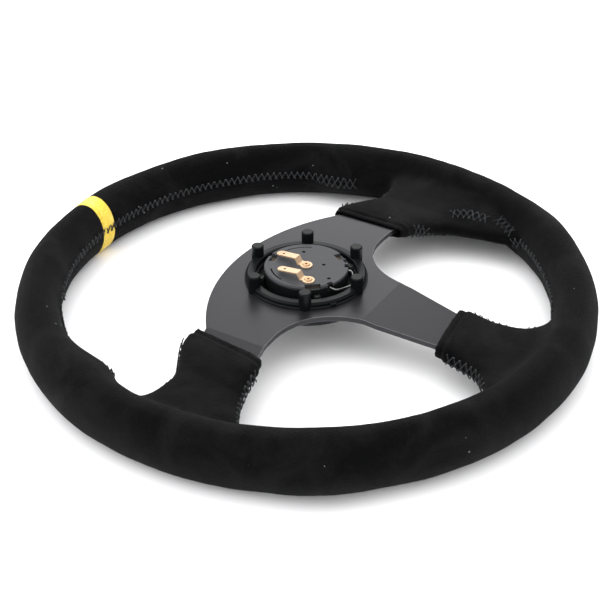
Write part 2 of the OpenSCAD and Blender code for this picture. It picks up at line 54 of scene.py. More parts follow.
# Boots: name, turn of the spoke, mirrored, hem distance, slant of the hem, middle and half width at the
# hem, shapes of the two sides, bend of the spoke. A side puffs out by its first size behind the hem, widens
# (or narrows) by its second half way to the rim, and sweeps out by its third near the rim, the later the
# higher its fourth.
BOOTS = (
    ("boot_left", 0.0, False, 77.5, 0.0, 1.6, 22.6,
     (2.5, -12.5, 10.0, 12.0), (5.0, 3.5, 60.0, 4.5), SIDE_BEND),
    ("boot_right", 0.0, True, 82.8, -0.10, 0.4, 22.6,
     (2.5, -12.5, 10.0, 12.0), (3.0, 0.0, 20.0, 2.6), SIDE_BEND),
    ("boot_lower", -90.0, False, 95.5, -0.12, 0.0, 20.2,
     (2.5, -1.0, 20.0, 8.0), (2.5, 0.5, 24.0, 4.0), LOWER_BEND),
)


def smooth(x):
    x = np.clip(x, 0, 1)
    return x * x * (3 - 2 * x)


def bell(x, centre, spread):
    return np.exp(-((x - centre) / spread) ** 2)


def turn_of(x, y):
    """Angle round the rim from 12 o'clock, positive towards 3 o'clock."""
    return np.degrees(np.arctan2(-x, y))


def grip(phi, t, out=0.0):
    """Points of the grip's surface at rim angle phi and section angle t, raised by out."""
    c, s = np.cos(np.radians(t)), np.sin(np.radians(t))
    swell = np.where(c > 0, CORNER[0] * bell(np.abs(phi), CORNER[1], CORNER[2]),
                     -THUMB[0] * bell(np.abs(phi), THUMB[1], THUMB[2]))
    r = RIM_R + (HALF_W + out) * c + swell * c * c
    a = np.radians(phi)
    return np.stack([-r * np.sin(a), r * np.cos(a), (HALF_H + out) * s - RIM_DROP], -1)


def inner_reach(v, z, phi):
    """Distance of the grip's inner surface from the wheel's axis, along a spoke at sideways place v."""
    q = np.sqrt(np.clip(1 - ((z + RIM_DROP) / HALF_H) ** 2, 0, 1))
    r = RIM_R - HALF_W * q - THUMB[0] * bell(np.abs(phi), THUMB[1], THUMB[2]) * q * q
    return np.sqrt(np.maximum(r * r - v * v, 1))


def place(boot, p):
    """From a boot's own frame (along the spoke, sideways, up) to the wheel's."""
    name, turn, mirrored = boot[:3]
    q = np.array(p, float)
    if mirrored:
        q[..., 0] = -q[..., 0]
    a = math.radians(turn)
    x = q[..., 0] * math.cos(a) - q[..., 1] * math.sin(a)
    y = q[..., 0] * math.sin(a) + q[..., 1] * math.cos(a)
    return np.stack([x, y, q[..., 2]], -1)


def own_frame(boot, p):
    """The other way: from the wheel's frame to a boot's."""
    name, turn, mirrored = boot[:3]
    a = -math.radians(turn)
    x = p[..., 0] * math.cos(a) - p[..., 1] * math.sin(a)
    y = p[..., 0] * math.sin(a) + p[..., 1] * math.cos(a)
    if mirrored:
        x = -x
    return np.stack([x, y, p[..., 2]], -1)


def boot_section(boot, s, t):
    """Sideways and up at share s of a boot's length, at section angle t in degrees."""
    middle, half, upper, lower = boot[5:9]
    c, n = np.cos(np.radians(t)), np.sin(np.radians(t))
    swell = np.sin(np.pi / 2 * np.clip(s / 0.3, 0, 1))
    e = 0.3 + 0.4 * swell
    up, down = (half + puff * np.sin(np.pi / 2 * np.clip(s / 0.14, 0, 1)) + widen * smooth((s - 0.12) / 0.5)
                + sweep * s ** power for puff, widen, sweep, power in (upper, lower))
    wide = np.where(c > 0, up, down)
    thick = 3.2 + 3.6 * swell + 3.4 * s
    return middle * (1 - s) + wide * np.sign(c) * np.abs(c) ** e, thick * np.sign(n) * np.abs(n) ** e


def spoke_level(boot, d):
    """Height of the middle of a spoke at distance d from the axis: level, bent forward, level again."""
    return PLATE_MID + (RIM_LEVEL - PLATE_MID) * np.clip((d - boot[9]) / (LEVEL_FROM - boot[9]), 0, 1)


# ---- Mesh helpers ----
def make_object(name, verts, faces, smooth_faces=True, scale=MM):
    mesh = bpy.data.meshes.new(name)
    mesh.from_pydata((np.asarray(verts) * scale).tolist(), [], [list(map(int, f)) for f in faces])
    mesh.update()
    if smooth_faces:
        mesh.polygons.foreach_set("use_smooth", [True] * len(mesh.polygons))
    obj = bpy.data.objects.new(name, mesh)
    bpy.context.scene.collection.objects.link(obj)
    return obj


def evaluated_mesh(obj):
    graph = bpy.context.evaluated_depsgraph_get()
    return bpy.data.meshes.new_from_object(obj.evaluated_get(graph))


def arrays(mesh):
    v = np.empty(len(mesh.vertices) * 3)
    mesh.vertices.foreach_get("co", v)
    faces = [tuple(p.vertices) for p in mesh.polygons]
    return v.reshape(-1, 3) / MM, faces


def vertex_normals(v, quads):
    d1 = v[quads[:, 2]] - v[quads[:, 0]]
    d2 = v[quads[:, 3]] - v[quads[:, 1]]
    n = np.cross(d1, d2)
    out = np.zeros_like(v)
    for k in range(4):
        for axis in range(3):
            out[:, axis] += np.bincount(quads[:, k], n[:, axis], len(v))
    return out / np.maximum(np.linalg.norm(out, axis=1, keepdims=True), 1e-12)


def relax(v, edges, weight, rounds, share=0.5):
    """Moves each vertex towards the middle of its neighbours, by its weight."""
    a, b = np.concatenate([edges[:, 0], edges[:, 1]]), np.concatenate([edges[:, 1], edges[:, 0]])
    count = np.bincount(a, minlength=len(v))[:, None]
    for _ in range(rounds):
        total = np.stack([np.bincount(a, v[b, k], len(v)) for k in range(3)], 1)
        v = v + share * weight[:, None] * (total / np.maximum(count, 1) - v)
    return v


def waves(v, size, seed):
    """Smooth noise from -1 to 1 at each vertex, with lumps of that size in millimetres."""
    shift = Vector((seed * 17.3, seed * 5.1, seed * 9.7))
    return np.array([noise.noise(Vector(p) / size + shift) for p in v])


# ---- The suede skin: rim and boots as one closed shape, then cut into its panels ----
def grip_solid():
    n, m = 720, 96
    phi = np.repeat(np.arange(n) * 360 / n - 180, m)
    t = np.tile(np.arange(m) * 360 / m, n)
    v = grip(phi, t)
    i, j = np.divmod(np.arange(n * m), m)
    f = np.stack([i * m + j, i * m + (j + 1) % m, (i + 1) % n * m + (j + 1) % m, (i + 1) % n * m + j], 1)
    return make_object("grip", v, f)


def boot_solid(boot):
    around, along = 128, 46
    hem, slant = boot[3:5]
    shares = np.linspace(0, 1, along) ** 1.15
    t = np.arange(around) * 360 / around
    end_v, end_z = boot_section(boot, np.ones(around), t)
    spoke = 180 if boot[0] == "boot_lower" else 90
    phi = spoke - np.degrees(np.arcsin(end_v / 147.7))
    reach = inner_reach(end_v, end_z + RIM_LEVEL, phi) + 1.0
    rings = []
    for s in shares:
        v, z = boot_section(boot, np.full(around, s), t)
        d = (hem + slant * v) * (1 - s) + reach * s
        rings.append(np.stack([d, v, z + spoke_level(boot, d)], 1))
    deep = rings[-1].copy()
    deep[:, 0] += 9
    deep[:, 1] *= 0.9
    rings.append(deep)
    v = place(boot, np.concatenate(rings))
    k = len(rings)
    f = [(i * around + j, i * around + (j + 1) % around,
          (i + 1) * around + (j + 1) % around, (i + 1) * around + j)
         for i in range(k - 1) for j in range(around)]
    f.append(tuple(range(around - 1, -1, -1)))
    f.append(tuple((k - 1) * around + j for j in range(around)))
    return make_object(boot[0], v, f)


def pad_slab(boot, side):
    """Foam between the spoke and the boot, on the rear (1) or front (-1) of the spoke."""
    rows, across = 24, 20
    s = np.linspace(0.2, 0.9, rows)
    faces_of = []
    for level, edge in ((0.55, 4.2), (0.0, 4.2)):
        grid = []
        for share in s:
            (up, top), (down, _) = ((abs(v[0]), z[0]) for v, z in (
                boot_section(boot, np.array([share]), np.array([t])) for t in (0.0, 180.0)))
            thick = boot_section(boot, np.array([share]), np.array([90.0]))[1][0] - SKIN - 0.6
            v = np.linspace(-down + edge, up - edge, across)
            round_off = (1 - np.abs(np.linspace(-1, 1, across)) ** 4) ** 0.5
            reach = inner_reach(v, RIM_LEVEL, float(180 if boot[0] == "boot_lower" else 90))
            d = (boot[3] + boot[4] * v) * (1 - share) + (reach - 2) * share
            low = PLATE_HALF + 0.35
            z = low + (thick - low) * round_off * (level > 0) + 0.05 * (level > 0)
            grid.append(np.stack([d, v, side * z + spoke_level(boot, d)], 1))
        faces_of.append(np.concatenate(grid))
    n = rows * across
    quads = [(i * across + j, i * across + j + 1, (i + 1) * across + j + 1, (i + 1) * across + j)
             for i in range(rows - 1) for j in range(across - 1)]
    edge_loop = [j for j in range(across)] + [i * across + across - 1 for i in range(1, rows)] \
        + [(rows - 1) * across + j for j in range(across - 2, -1, -1)] \
        + [i * across for i in range(rows - 2, 0, -1)]
    walls = [(a + n, b + n, b, a) for a, b in zip(edge_loop, edge_loop[1:] + edge_loop[:1])]
    name = boot[0] + ("_rear_pad" if side > 0 else "_front_pad")
    backs = [tuple(x + n for x in q[::-1]) for q in quads]
    obj = make_object(name, place(boot, np.concatenate(faces_of)), quads + backs + walls)
    bm = bmesh.new()
    bm.from_mesh(obj.data)
    bmesh.ops.recalc_face_normals(bm, faces=bm.faces)
    bm.to_mesh(obj.data)
    bm.free()
    return obj


def skin_mesh():
    solids = [grip_solid()] + [boot_solid(b) for b in BOOTS]
    for o in solids:
        bm = bmesh.new()
        bm.from_mesh(o.data)
        bmesh.ops.recalc_face_normals(bm, faces=bm.faces)
        bm.to_mesh(o.data)
        bm.free()
    with bpy.context.temp_override(active_object=solids[0], selected_editable_objects=solids):
        bpy.ops.object.join()
    whole = solids[0]
    remesh = whole.modifiers.new("skin", "REMESH")
    remesh.mode = "VOXEL"
    remesh.voxel_size = 1.1 * MM
    mesh = evaluated_mesh(whole)
    v, faces = arrays(mesh)
    edges = np.array([tuple(e.vertices) for e in mesh.edges])
    bpy.data.objects.remove(whole)
    bpy.data.meshes.remove(mesh)
    return v, np.array(faces), edges


def window(phi):
    """1 round the three spokes, 0 well away from them."""
    off = np.min([np.abs((phi - s + 180) % 360 - 180) for s in (90, -90, 180)], axis=0)
    return smooth((32 - off) / 8)


def ellipse_level(v):
    """1 on the grip's plain surface, more outside it."""
    r = np.hypot(v[:, 0], v[:, 1]) - RIM_R
    phi = turn_of(v[:, 0], v[:, 1])
    wide = HALF_W + np.where(r < 0, THUMB[0] * bell(np.abs(phi), THUMB[1], THUMB[2]),
                             CORNER[0] * bell(np.abs(phi), CORNER[1], CORNER[2]))
    return np.hypot(r / wide, (v[:, 2] + RIM_DROP) / HALF_H), r


def build_skin():
    v, quads, edges = skin_mesh()
    phi = turn_of(v[:, 0], v[:, 1])
    level, r = ellipse_level(v)
    v = relax(v, edges, np.ones(len(v)), 3)
    fold = np.exp(-((level - 1.1) / 0.28) ** 2) * window(phi) * (r < 4)
    v = relax(v, edges, fold, 46)
    n = vertex_normals(v, quads)
    # The hand-drawn suede lies in slow lumps, with flatter places along the grip
    lump = 0.55 * waves(v, 42, 1) + 0.3 * waves(v, 17, 2) + 0.10 * waves(v, 7, 3)
    v = v + n * lump[:, None]
    phi = turn_of(v[:, 0], v[:, 1])
    level, r = ellipse_level(v)
    on_boot = (level > 1.06) & (r < 0) & (window(phi) > 0.05)

    # The sewn seam: a shallow valley along the inside of the rim, kept off the boots and shallower near the
    # spokes
    valley = 0.75 * bell(v[:, 2] + RIM_DROP, 0, 1.3) * (r < 0) * ~on_boot * (1 - 0.6 * window(phi))
    v = v - n * valley[:, None]

    # Band edges are drawn in a little
    for edge in BAND:
        arc = np.radians(phi - edge) * (RIM_R + r)
        v = v - n * (0.45 * bell(arc, 0, 0.7))[:, None]
    v = v + n * (0.18 * smooth((2.05 - np.abs(phi - 2.2)) / 0.4))[:, None]

    # Hems: a rolled edge, a groove, then a soft pleat
    hem_of = np.full(len(v), -1)
    for k, boot in enumerate(BOOTS):
        p = own_frame(boot, v)
        q = p[:, 0] - (boot[3] + boot[4] * p[:, 1])
        near = on_boot & (q > -4) & (q < 40) & (np.abs(p[:, 1]) < 60) & (p[:, 0] > 0)
        ripple = waves(v, 9, 5 + k)
        roll = (0.55 + 0.3 * ripple) * bell(q, 1.7, 1.0) - (0.55 + 0.25 * ripple) * bell(q, 4.1, 0.8) \
            + (0.3 + 0.3 * ripple) * bell(q, 6.4, 1.2)
        v = v + n * (roll * near)[:, None]
        hem_of[near] = k
    return v, quads, edges, on_boot, hem_of


def sew_panels():
    v, quads, edges, on_boot, hem_of = build_skin()
    n = vertex_normals(v, quads)
    centre = v[quads].mean(1)
    flat = np.cross(v[quads[:, 2]] - v[quads[:, 0]], v[quads[:, 3]] - v[quads[:, 1]])
    flat /= np.maximum(np.linalg.norm(flat, axis=1, keepdims=True), 1e-12)
    phi = turn_of(centre[:, 0], centre[:, 1])
    booted = on_boot[quads].sum(1) >= 2
    panel = np.select([booted & (np.abs(phi) > 150), booted & (phi > 0), booted,
                       (phi > BAND[0]) & (phi < BAND[1]), (phi >= BAND[1]) & (phi < 90), phi >= 90,
                       (phi <= BAND[0]) & (phi > -90)],
                      [2, 1, 0, 7, 4, 6, 3], 5)
    # Hem caps come away, so that the spokes run into open boots
    open_hem = np.zeros(len(quads), bool)
    for k, boot in enumerate(BOOTS):
        p = own_frame(boot, centre)
        q = p[:, 0] - (boot[3] + boot[4] * p[:, 1])
        along = own_frame(boot, flat)[:, 0]
        open_hem |= (panel == k) & (q < 1.6) & (along < -0.75)
    # Vertices on the band's edges move onto its straight sides
    corner_phi = turn_of(v[:, 0], v[:, 1])
    for edge, low, high in ((BAND[0], 3, 7), (BAND[1], 4, 7)):
        a = np.zeros(len(v), bool)
        b = np.zeros(len(v), bool)
        a[quads[panel == low].ravel()] = True
        b[quads[panel == high].ravel()] = True
        both = a & b & (np.abs(corner_phi - edge) < 2)
        rr = np.hypot(v[both, 0], v[both, 1])
        jag = edge + 0.10 * waves(v[both], 1.6, 11)
        v[both, 0] = -rr * np.sin(np.radians(jag))
        v[both, 1] = rr * np.cos(np.radians(jag))
    # The hem's free edge is drawn to its line
    for k, boot in enumerate(BOOTS):
        kept = quads[(panel == k) & ~open_hem]
        e = np.sort(np.concatenate([kept[:, [i, (i + 1) % 4]] for i in range(4)]), 1)
        keys, counts = np.unique(e, axis=0, return_counts=True)
        rim = np.unique(keys[counts == 1])
        p = own_frame(boot, v[rim])
        hem = boot[3] + boot[4] * p[:, 1]
        free = p[:, 0] - hem < 3
        p[free, 0] = hem[free] + 0.35 * waves(v[rim[free]], 6, 21 + k)
        v[rim[free]] = place(boot, p[free])
    names = ["boot_left", "boot_right", "boot_lower", "cover_top_left", "cover_top_right",
             "cover_lower_left", "cover_lower_right", "centre_band"]
    pieces = {}
    for k, name in enumerate(names):
        pieces[name] = shell(name, v, n, quads[(panel == k) & ~open_hem])
    return pieces, v, quads


def shell(name, v, n, quads):
    """A closed skin of the suede's thickness from its outer faces."""
    used, flat_index = np.unique(quads, return_inverse=True)
    q = flat_index.reshape(-1, 4)
    outer, inner = v[used], v[used] - n[used] * SKIN
    m = len(used)
    e = np.concatenate([q[:, [i, (i + 1) % 4]] for i in range(4)])
    keys = np.sort(e, 1)
    _, first, counts = np.unique(keys, axis=0, return_index=True, return_counts=True)
    border = e[first[counts == 1]]
    walls = np.stack([border[:, 1], border[:, 0], border[:, 0] + m, border[:, 1] + m], 1)
    faces = np.concatenate([q, q[:, ::-1] + m, walls])
    obj = make_object(name + "_suede", np.concatenate([outer, inner]), faces)
    normals = np.concatenate([n[used], -n[used]])
    obj.data.normals_split_custom_set_from_vertices(normals.tolist())
    return obj


# ---- Shader groups ----
def new_group(name, inputs, outputs):
    tree = bpy.data.node_groups.new(name, "ShaderNodeTree")
    kinds = {"float": "NodeSocketFloat", "color": "NodeSocketColor", "vector": "NodeSocketVector"}
    for label, kind, value in inputs:
        s = tree.interface.new_socket(label, in_out="INPUT", socket_type=kinds[kind])
        s.default_value = value
    for label, kind in outputs:
        tree.interface.new_socket(label, in_out="OUTPUT", socket_type=kinds[kind])
    return tree, tree.nodes.new("NodeGroupInput"), tree.nodes.new("NodeGroupOutput")


def node(tree, kind, **settings):
    made = tree.nodes.new(kind)
    for key, value in settings.items():
        if key in made.inputs:
            made.inputs[key].default_value = value
        else:
            setattr(made, key, value)
    return made


def link(tree, out, into):
    tree.links.new(out, into)


def math_node(tree, operation, a, b=None):
    made = node(tree, "ShaderNodeMath", operation=operation)
    for socket, value in zip(made.inputs, (a, b)):
        if value is None:
            continue
        if isinstance(value, (int, float)):
            socket.default_value = value
        else:
            link(tree, value, socket)
    return made.outputs[0]


def mix_color(tree, share, a, b, blend="MIX"):
    made = node(tree, "ShaderNodeMix", data_type="RGBA", blend_type=blend)
    for socket, value in ((made.inputs[0], share), (made.inputs[6], a), (made.inputs[7], b)):
        if isinstance(value, (int, float, tuple)):
            socket.default_value = value
        else:
            link(tree, value, socket)
    return made.outputs[2]


def ramp(tree, value, low, high):
    made = node(tree, "ShaderNodeMapRange")
    link(tree, value, made.inputs["Value"])
    made.inputs["From Min"].default_value = low
    made.inputs["From Max"].default_value = high
    return made.outputs["Result"]


def noise_node(tree, vector, scale, detail=3.0, rough=0.55):
    made = node(tree, "ShaderNodeTexNoise", Scale=scale, Detail=detail, Roughness=rough)
    link(tree, vector, made.inputs["Vector"])
    return made.outputs["Fac"]


def suede_nap():
    """Brushed suede: slow smudges where the nap lies over, fine fibre grain, and pale lint specks."""
    tree, gin, gout = new_group("suede nap",
        [("Color", "color", (0.02, 0.02, 0.02, 1)), ("Rubbed Color", "color", (0.04, 0.04, 0.045, 1)),
         ("Smudge Scale", "float", 28.0), ("Grain Scale", "float", 900.0), ("Lint", "float", 0.5)],
        [("Color", "color"), ("Roughness", "float"), ("Height", "float")])
    at = node(tree, "ShaderNodeTexCoord").outputs["Object"]
    smudge = node(tree, "ShaderNodeTexNoise", Detail=5.0, Roughness=0.6, Distortion=0.8)
    link(tree, at, smudge.inputs["Vector"])
    link(tree, gin.outputs["Smudge Scale"], smudge.inputs["Scale"])
    grain = node(tree, "ShaderNodeTexNoise", Detail=4.0, Roughness=0.7)
    link(tree, at, grain.inputs["Vector"])
    link(tree, gin.outputs["Grain Scale"], grain.inputs["Scale"])
    paler_share = ramp(tree, smudge.outputs["Fac"], 0.46, 0.74)
    base = mix_color(tree, paler_share, gin.outputs["Color"], gin.outputs["Rubbed Color"])
    fibre = ramp(tree, grain.outputs["Fac"], 0.3, 0.75)
    shade = mix_color(tree, fibre, (0.25, 0.25, 0.25, 1), (1.6, 1.6, 1.6, 1))
    dark = mix_color(tree, 0.45, base, shade, "MULTIPLY")
    speck = node(tree, "ShaderNodeTexVoronoi", Scale=210.0, Randomness=1.0)
    link(tree, at, speck.inputs["Vector"])
    dot = math_node(tree, "LESS_THAN", speck.outputs["Distance"], 0.11)
    rare = math_node(tree, "GREATER_THAN", noise_node(tree, at, 37.0, 2.0), 0.66)
    lint = math_node(tree, "MULTIPLY", math_node(tree, "MULTIPLY", dot, rare), gin.outputs["Lint"])
    link(tree, mix_color(tree, lint, dark, (0.33, 0.34, 0.36, 1)), gout.inputs["Color"])
    link(tree, math_node(tree, "ADD", math_node(tree, "MULTIPLY", paler_share, -0.08), 0.97),
         gout.inputs["Roughness"])
    link(tree, math_node(tree, "ADD", fibre, math_node(tree, "MULTIPLY", smudge.outputs["Fac"], 0.8)),
         gout.inputs["Height"])
    return tree


def surface_wear_and_edge_highlight():
    """Handling marks on a hard finish: fine grain, faint scratches, dust in slow patches, and a paler colour
    on sharp edges that is a painted highlight, partly worn edges.
    """
    tree, gin, gout = new_group("surface wear",
        [("Color", "color", (0.03, 0.03, 0.03, 1)), ("Worn Color", "color", (0.1, 0.1, 0.1, 1)),
         ("Edge Color", "color", (0.2, 0.2, 0.2, 1)), ("Roughness", "float", 0.45),
         ("Grain Scale", "float", 2500.0), ("Scratches", "float", 0.3), ("Dust", "float", 0.2),
         ("Edge Wear", "float", 0.5)],
        [("Color", "color"), ("Roughness", "float"), ("Height", "float")])
    at = node(tree, "ShaderNodeTexCoord").outputs["Object"]
    grain = node(tree, "ShaderNodeTexNoise", Detail=2.0)
    link(tree, at, grain.inputs["Vector"])
    link(tree, gin.outputs["Grain Scale"], grain.inputs["Scale"])
    stretch = node(tree, "ShaderNodeMapping", Scale=(60, 900, 300), Rotation=(0.2, 0.1, 0.6))
    link(tree, at, stretch.inputs["Vector"])
    line = node(tree, "ShaderNodeTexNoise", Scale=1.0, Detail=3.0, Roughness=0.7)
    link(tree, stretch.outputs["Vector"], line.inputs["Vector"])
    scratch = math_node(tree, "MULTIPLY", ramp(tree, line.outputs["Fac"], 0.66, 0.74),
                        gin.outputs["Scratches"])
    patch = ramp(tree, noise_node(tree, at, 70.0, 6.0, 0.65), 0.52, 0.8)
    dust = math_node(tree, "MULTIPLY", patch, gin.outputs["Dust"])
    worn = mix_color(tree, math_node(tree, "MAXIMUM", scratch, dust), gin.outputs["Color"],
                     gin.outputs["Worn Color"])
    # A rounded normal that leans away from the true one marks a sharp edge; the paler colour there is a
    # painted highlight, partly worn edges
    rounded = node(tree, "ShaderNodeBevel", samples=6, Radius=0.0005)
    lean = node(tree, "ShaderNodeVectorMath", operation="DOT_PRODUCT")
    link(tree, rounded.outputs["Normal"], lean.inputs[0])
    link(tree, node(tree, "ShaderNodeNewGeometry").outputs["Normal"], lean.inputs[1])
    edge = ramp(tree, lean.outputs["Value"], 0.97, 0.80)
    paler_share = math_node(tree, "MULTIPLY", edge, gin.outputs["Edge Wear"])
    link(tree, mix_color(tree, paler_share, worn, gin.outputs["Edge Color"]), gout.inputs["Color"])
    rough = math_node(tree, "ADD", gin.outputs["Roughness"], math_node(tree, "MULTIPLY", dust, 0.35))
    fine = math_node(tree, "MULTIPLY", math_node(tree, "SUBTRACT", grain.outputs["Fac"], 0.5), 0.16)
    link(tree, math_node(tree, "ADD", rough, fine), gout.inputs["Roughness"])
    link(tree, math_node(tree, "SUBTRACT", grain.outputs["Fac"], scratch), gout.inputs["Height"])
    return tree


def finish_material(name, group, values, bump=0.2, depth=0.0002, **shader):
    """A material whose colour, roughness and bump come from a shared group."""
    mat = bpy.data.materials.new(name)
    mat.use_nodes = True
    tree = mat.node_tree
    surface = tree.nodes["Principled BSDF"]
    for key, value in shader.items():
        surface.inputs[key.replace("_", " ")].default_value = value
    effect = node(tree, "ShaderNodeGroup", node_tree=group)
    for key, value in values.items():
        effect.inputs[key].default_value = value
    relief = node(tree, "ShaderNodeBump", Strength=bump, Distance=depth)
    link(tree, effect.outputs["Color"], surface.inputs["Base Color"])
    link(tree, effect.outputs["Roughness"], surface.inputs["Roughness"])
    link(tree, effect.outputs["Height"], relief.inputs["Height"])
    link(tree, relief.outputs["Normal"], surface.inputs["Normal"])
    return mat


nap, wear_and_edge_highlight = suede_nap(), surface_wear_and_edge_highlight()
SUEDE = finish_material("black suede", nap, {
    "Color": (0.0020, 0.0021, 0.0024, 1), "Rubbed Color": (0.0078, 0.0072, 0.0077, 1), "Lint": 0.5},
    bump=0.7, depth=0.0006, Sheen_Weight=0.035, Sheen_Roughness=0.45, Specular_IOR_Level=0.05)
BAND_SUEDE = finish_material("yellow band suede", nap, {
    "Color": (0.74, 0.52, 0.06, 1), "Rubbed Color": (0.80, 0.62, 0.14, 1), "Smudge Scale": 60.0, "Lint": 0.0},
    bump=0.35, depth=0.0004, Sheen_Weight=0.15, Sheen_Roughness=0.5, Specular_IOR_Level=0.2)
THREAD = finish_material("dark thread", wear_and_edge_highlight, {
    "Color": (0.006, 0.008, 0.010, 1), "Worn Color": (0.022, 0.028, 0.034, 1), "Roughness": 0.7,
    "Grain Scale": 4000.0, "Scratches": 0.8, "Dust": 0.6},
    bump=0.4, Sheen_Weight=0.1, Specular_IOR_Level=0.25)
FOAM = finish_material("grey foam", nap, {
    "Color": (0.03, 0.03, 0.032, 1), "Rubbed Color": (0.05, 0.05, 0.05, 1),
    "Grain Scale": 1500.0, "Lint": 0.0},
    bump=0.6)
# The pale edge colour on the plate is a painted highlight along its edges
PLATE = finish_material("black anodised plate", wear_and_edge_highlight, {
    "Color": (0.040, 0.0385, 0.042, 1), "Worn Color": (0.07, 0.068, 0.073, 1),
    "Edge Color": (0.34, 0.34, 0.36, 1),
    "Roughness": 0.40, "Scratches": 0.2, "Dust": 0.14, "Edge Wear": 0.8}, bump=0.05, Metallic=0.75)
PLASTIC = finish_material("black moulded plastic", wear_and_edge_highlight, {
    "Color": (0.0035, 0.0044, 0.0050, 1), "Worn Color": (0.02, 0.023, 0.026, 1),
    "Edge Color": (0.04, 0.045, 0.05, 1), "Roughness": 0.42, "Scratches": 0.3, "Dust": 0.25,
    "Edge Wear": 0.5},
    bump=0.12, Specular_IOR_Level=0.2)
HORN_PLASTIC = finish_material("horn unit plastic", wear_and_edge_highlight, {
    "Color": (0.006, 0.0066, 0.0072, 1), "Worn Color": (0.03, 0.031, 0.034, 1),
    "Edge Color": (0.06, 0.06, 0.065, 1),
    "Roughness": 0.45, "Scratches": 0.35, "Dust": 0.3, "Edge Wear": 0.4}, bump=0.15, Specular_IOR_Level=0.3)
BACK_PLATE = finish_material("horn unit back", wear_and_edge_highlight, {
    "Color": (0.036, 0.037, 0.042, 1), "Worn Color": (0.08, 0.08, 0.09, 1),
    "Edge Color": (0.14, 0.145, 0.155, 1),
    "Roughness": 0.5, "Scratches": 0.35, "Dust": 0.3, "Edge Wear": 0.5}, bump=0.15, Specular_IOR_Level=0.35)
GLOSS = finish_material("gloss button", wear_and_edge_highlight, {
    "Color": (0.008, 0.008, 0.009, 1), "Worn Color": (0.03, 0.03, 0.03, 1), "Roughness": 0.12,
    "Scratches": 0.2, "Dust": 0.1}, bump=0.03, Coat_Weight=0.5)
BRASS = finish_material("pale brass", wear_and_edge_highlight, {
    "Color": (0.62, 0.43, 0.27, 1), "Worn Color": (0.45, 0.30, 0.18, 1), "Edge Color": (0.78, 0.60, 0.42, 1),
    "Roughness": 0.38, "Scratches": 0.5, "Dust": 0.3, "Edge Wear": 0.6}, bump=0.1, Metallic=0.55)
RIVET_BRASS = finish_material("rivet brass", wear_and_edge_highlight, {
    "Color": (0.55, 0.33, 0.17, 1), "Worn Color": (0.35, 0.2, 0.1, 1), "Edge Color": (0.95, 0.72, 0.5, 1),
    "Roughness": 0.35, "Scratches": 0.5, "Dust": 0.4, "Edge Wear": 0.7}, bump=0.1, Metallic=0.8)
STEEL = finish_material("bright steel", wear_and_edge_highlight, {
    "Color": (0.34, 0.34, 0.33, 1), "Worn Color": (0.2, 0.2, 0.2, 1), "Roughness": 0.32,
    "Scratches": 0.5, "Dust": 0.3}, bump=0.1, Metallic=1.0)
DARK_SCREW = finish_material("black screw", wear_and_edge_highlight, {
    "Color": (0.03, 0.03, 0.032, 1), "Worn Color": (0.14, 0.14, 0.15, 1), "Roughness": 0.3,
    "Scratches": 0.5, "Dust": 0.3}, bump=0.1, Metallic=0.9)
# Brass darkened far below its own colour: painted shade for the contacts inside the horn housing
SHADE_DARKENED_BRASS = finish_material("contact brass darkened as painted shade", wear_and_edge_highlight, {
    "Color": (0.06, 0.045, 0.03, 1), "Worn Color": (0.16, 0.11, 0.07, 1), "Roughness": 0.5,
    "Scratches": 0.4, "Dust": 0.4}, bump=0.1, Metallic=0.8)
CORE_STEEL = finish_material("core steel", wear_and_edge_highlight, {
    "Color": (0.4, 0.41, 0.42, 1), "Worn Color": (0.2, 0.17, 0.15, 1), "Roughness": 0.45,
    "Scratches": 0.5, "Dust": 0.5}, bump=0.2, Metallic=1.0)
ALUMINIUM = finish_material("rivet aluminium", wear_and_edge_highlight, {
    "Color": (0.7, 0.71, 0.72, 1), "Worn Color": (0.45, 0.45, 0.46, 1), "Roughness": 0.35,
    "Scratches": 0.4, "Dust": 0.2}, bump=0.1, Metallic=1.0)


